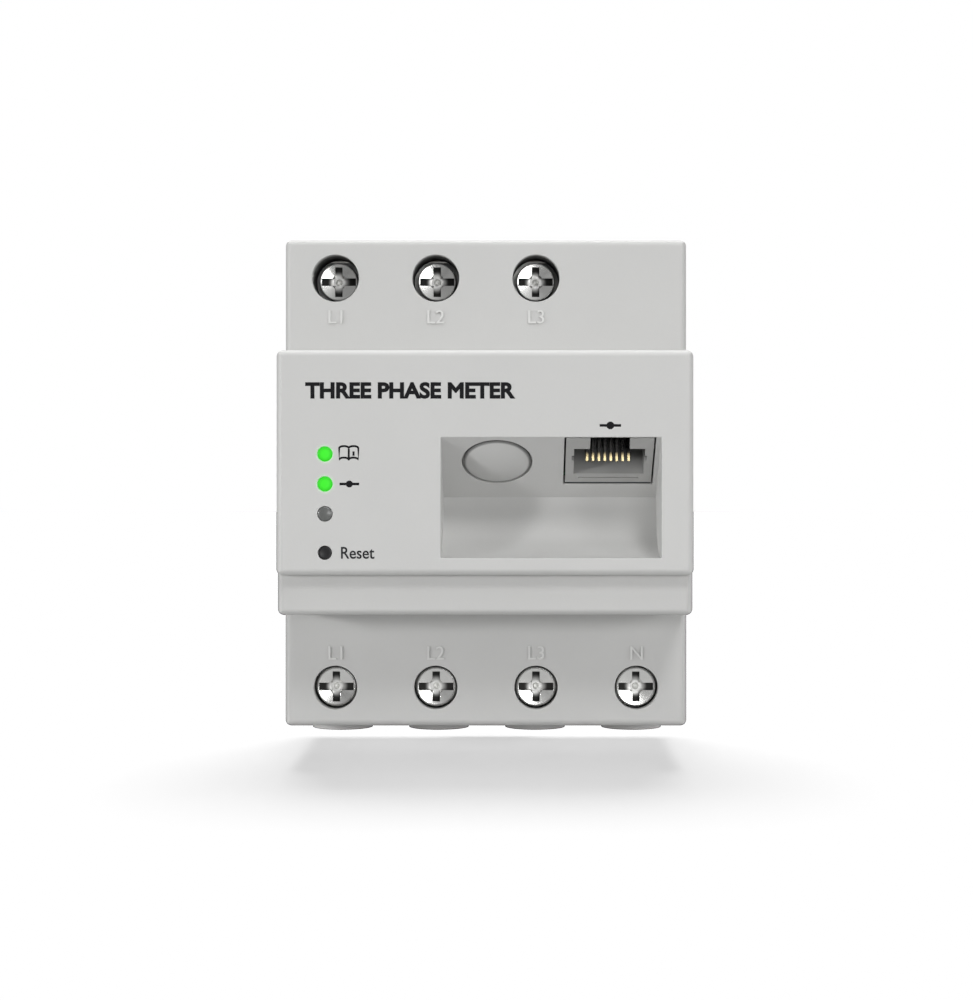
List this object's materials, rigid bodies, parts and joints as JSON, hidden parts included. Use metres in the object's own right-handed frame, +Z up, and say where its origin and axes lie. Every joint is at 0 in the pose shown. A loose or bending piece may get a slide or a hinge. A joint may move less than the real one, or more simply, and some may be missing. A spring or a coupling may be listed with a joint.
{
  "type": "electricity meter",
  "caption": "Smart electricity meter for a 35 mm rail: screw clamp terminals, indicators, reset button, network socket in a recess.",
  "frame": {"origin": "middle of the rear seat that lies on the front face of the rail, at the rail's centre line", "axes": "+X right seen from the front, +Y to the rear (the front faces -Y), +Z up"},
  "size_m": [0.07, 0.0651, 0.0895],
  "materials": {
    "housing_plastic": "fine moulded texture",
    "plate_plastic": "fine moulded texture",
    "block_plastic": "moulded",
    "latch_plastic": "moulded",
    "spring_steel": "zinc plated",
    "button_plastic": "moulded",
    "switch_metal": "pressed tin",
    "light_guide_lit": "clear, lit green",
    "light_guide_dark": "smoked",
    "screw_steel": "nickel plated",
    "clamp_steel": "zinc plated",
    "tinned_copper": "bare copper",
    "transformer_casing": "moulded",
    "circuit_board": "solder mask",
    "chip_black": "moulded epoxy",
    "transformer_tape": "taped winding",
    "capacitor_sleeve": "shrink sleeve",
    "varistor_coat": "dipped epoxy",
    "led_white": "moulded",
    "jack_plastic": "moulded",
    "gold_contact": "gold plated"
  },
  "bodies": {
    "meter": {"rear_base": "housing_plastic", "front_housing": "housing_plastic", "face_plate": "plate_plastic", "top_terminal_block": "block_plastic", "bottom_terminal_block": "block_plastic", "latch_spring": "spring_steel", "port_blanking_plug": "plate_plastic", "reset_switch": "switch_metal", "light_guide_top": "light_guide_lit", "light_guide_middle": "light_guide_lit", "light_guide_bottom": "light_guide_dark", "top_cage_l1": "clamp_steel", "top_cage_l2": "clamp_steel", "top_cage_l3": "clamp_steel", "bottom_cage_l1": "clamp_steel", "bottom_cage_l2": "clamp_steel", "bottom_cage_l3": "clamp_steel", "bottom_cage_n": "clamp_steel", "busbar_l1": "tinned_copper", "busbar_l2": "tinned_copper", "busbar_l3": "tinned_copper", "neutral_bar": "tinned_copper", "current_transformer_l1": "transformer_casing", "current_transformer_l2": "transformer_casing", "current_transformer_l3": "transformer_casing", "measuring_board": "circuit_board", "logic_board": "circuit_board", "indicator_board": "circuit_board", "network_board": "circuit_board", "metering_chip": "chip_black", "processor_chip": "chip_black", "supply_transformer": "transformer_tape", "storage_capacitors": "capacitor_sleeve", "surge_varistors": "varistor_coat", "board_header": "chip_black", "status_leds": "led_white", "network_jack": "jack_plastic", "jack_contacts": "gold_contact", "network_transformer": "chip_black", "housing_screws": "spring_steel"},
    "rail_latch": {"rail_latch": "latch_plastic"},
    "reset_button": {"reset_button": "button_plastic", "switch_stem": "button_plastic"},
    "top_pad_l1": {"top_pad_l1": "clamp_steel"},
    "top_screw_l1": {"top_screw_l1": "screw_steel"},
    "top_pad_l2": {"top_pad_l2": "clamp_steel"},
    "top_screw_l2": {"top_screw_l2": "screw_steel"},
    "top_pad_l3": {"top_pad_l3": "clamp_steel"},
    "top_screw_l3": {"top_screw_l3": "screw_steel"},
    "bottom_pad_l1": {"bottom_pad_l1": "clamp_steel"},
    "bottom_screw_l1": {"bottom_screw_l1": "screw_steel"},
    "bottom_pad_l2": {"bottom_pad_l2": "clamp_steel"},
    "bottom_screw_l2": {"bottom_screw_l2": "screw_steel"},
    "bottom_pad_l3": {"bottom_pad_l3": "clamp_steel"},
    "bottom_screw_l3": {"bottom_screw_l3": "screw_steel"},
    "bottom_pad_n": {"bottom_pad_n": "clamp_steel"},
    "bottom_screw_n": {"bottom_screw_n": "screw_steel"}
  },
  "joints": [
    {"name": "latch_slide", "type": "slide", "parent": "meter", "child": "rail_latch", "axis": [0, 0, -1], "range_m": [0, 0.004], "stiffness_N_per_m": 500, "springref_m": -0.004, "deforming": ["latch_spring"]},
    {"name": "reset_press", "type": "slide", "parent": "meter", "child": "reset_button", "axis": [0, 1, 0], "range_m": [0, 0.0005], "stiffness_N_per_m": 300, "springref_m": -0.002},
    {"name": "top_clamp_l1", "type": "slide", "parent": "meter", "child": "top_pad_l1", "axis": [0, 1, 0], "range_m": [0, 0.005]},
    {"name": "top_turn_l1", "type": "hinge", "parent": "top_pad_l1", "child": "top_screw_l1", "pos_m": [-0.02625, -0.03, 0.0357], "axis": [0, 1, 0], "range_deg": [0, 2250]},
    {"name": "top_clamp_l2", "type": "slide", "parent": "meter", "child": "top_pad_l2", "axis": [0, 1, 0], "range_m": [0, 0.005]},
    {"name": "top_turn_l2", "type": "hinge", "parent": "top_pad_l2", "child": "top_screw_l2", "pos_m": [-0.00875, -0.03, 0.0357], "axis": [0, 1, 0], "range_deg": [0, 2250]},
    {"name": "top_clamp_l3", "type": "slide", "parent": "meter", "child": "top_pad_l3", "axis": [0, 1, 0], "range_m": [0, 0.005]},
    {"name": "top_turn_l3", "type": "hinge", "parent": "top_pad_l3", "child": "top_screw_l3", "pos_m": [0.00875, -0.03, 0.0357], "axis": [0, 1, 0], "range_deg": [0, 2250]},
    {"name": "bottom_clamp_l1", "type": "slide", "parent": "meter", "child": "bottom_pad_l1", "axis": [0, 1, 0], "range_m": [0, 0.005]},
    {"name": "bottom_turn_l1", "type": "hinge", "parent": "bottom_pad_l1", "child": "bottom_screw_l1", "pos_m": [-0.02625, -0.03, -0.0357], "axis": [0, 1, 0], "range_deg": [0, 2250]},
    {"name": "bottom_clamp_l2", "type": "slide", "parent": "meter", "child": "bottom_pad_l2", "axis": [0, 1, 0], "range_m": [0, 0.005]},
    {"name": "bottom_turn_l2", "type": "hinge", "parent": "bottom_pad_l2", "child": "bottom_screw_l2", "pos_m": [-0.00875, -0.03, -0.0357], "axis": [0, 1, 0], "range_deg": [0, 2250]},
    {"name": "bottom_clamp_l3", "type": "slide", "parent": "meter", "child": "bottom_pad_l3", "axis": [0, 1, 0], "range_m": [0, 0.005]},
    {"name": "bottom_turn_l3", "type": "hinge", "parent": "bottom_pad_l3", "child": "bottom_screw_l3", "pos_m": [0.00875, -0.03, -0.0357], "axis": [0, 1, 0], "range_deg": [0, 2250]},
    {"name": "bottom_clamp_n", "type": "slide", "parent": "meter", "child": "bottom_pad_n", "axis": [0, 1, 0], "range_m": [0, 0.005]},
    {"name": "bottom_turn_n", "type": "hinge", "parent": "bottom_pad_n", "child": "bottom_screw_n", "pos_m": [0.02625, -0.03, -0.0357], "axis": [0, 1, 0], "range_deg": [0, 2250]}
  ],
  "couplings": [
    {"joint": "top_turn_l1", "follows": "top_clamp_l1", "rad_per_m": 7853.9},
    {"joint": "top_turn_l2", "follows": "top_clamp_l2", "rad_per_m": 7853.9},
    {"joint": "top_turn_l3", "follows": "top_clamp_l3", "rad_per_m": 7853.9},
    {"joint": "bottom_turn_l1", "follows": "bottom_clamp_l1", "rad_per_m": 7853.9},
    {"joint": "bottom_turn_l2", "follows": "bottom_clamp_l2", "rad_per_m": 7853.9},
    {"joint": "bottom_turn_l3", "follows": "bottom_clamp_l3", "rad_per_m": 7853.9},
    {"joint": "bottom_turn_n", "follows": "bottom_clamp_n", "rad_per_m": 7853.9}
  ]
}
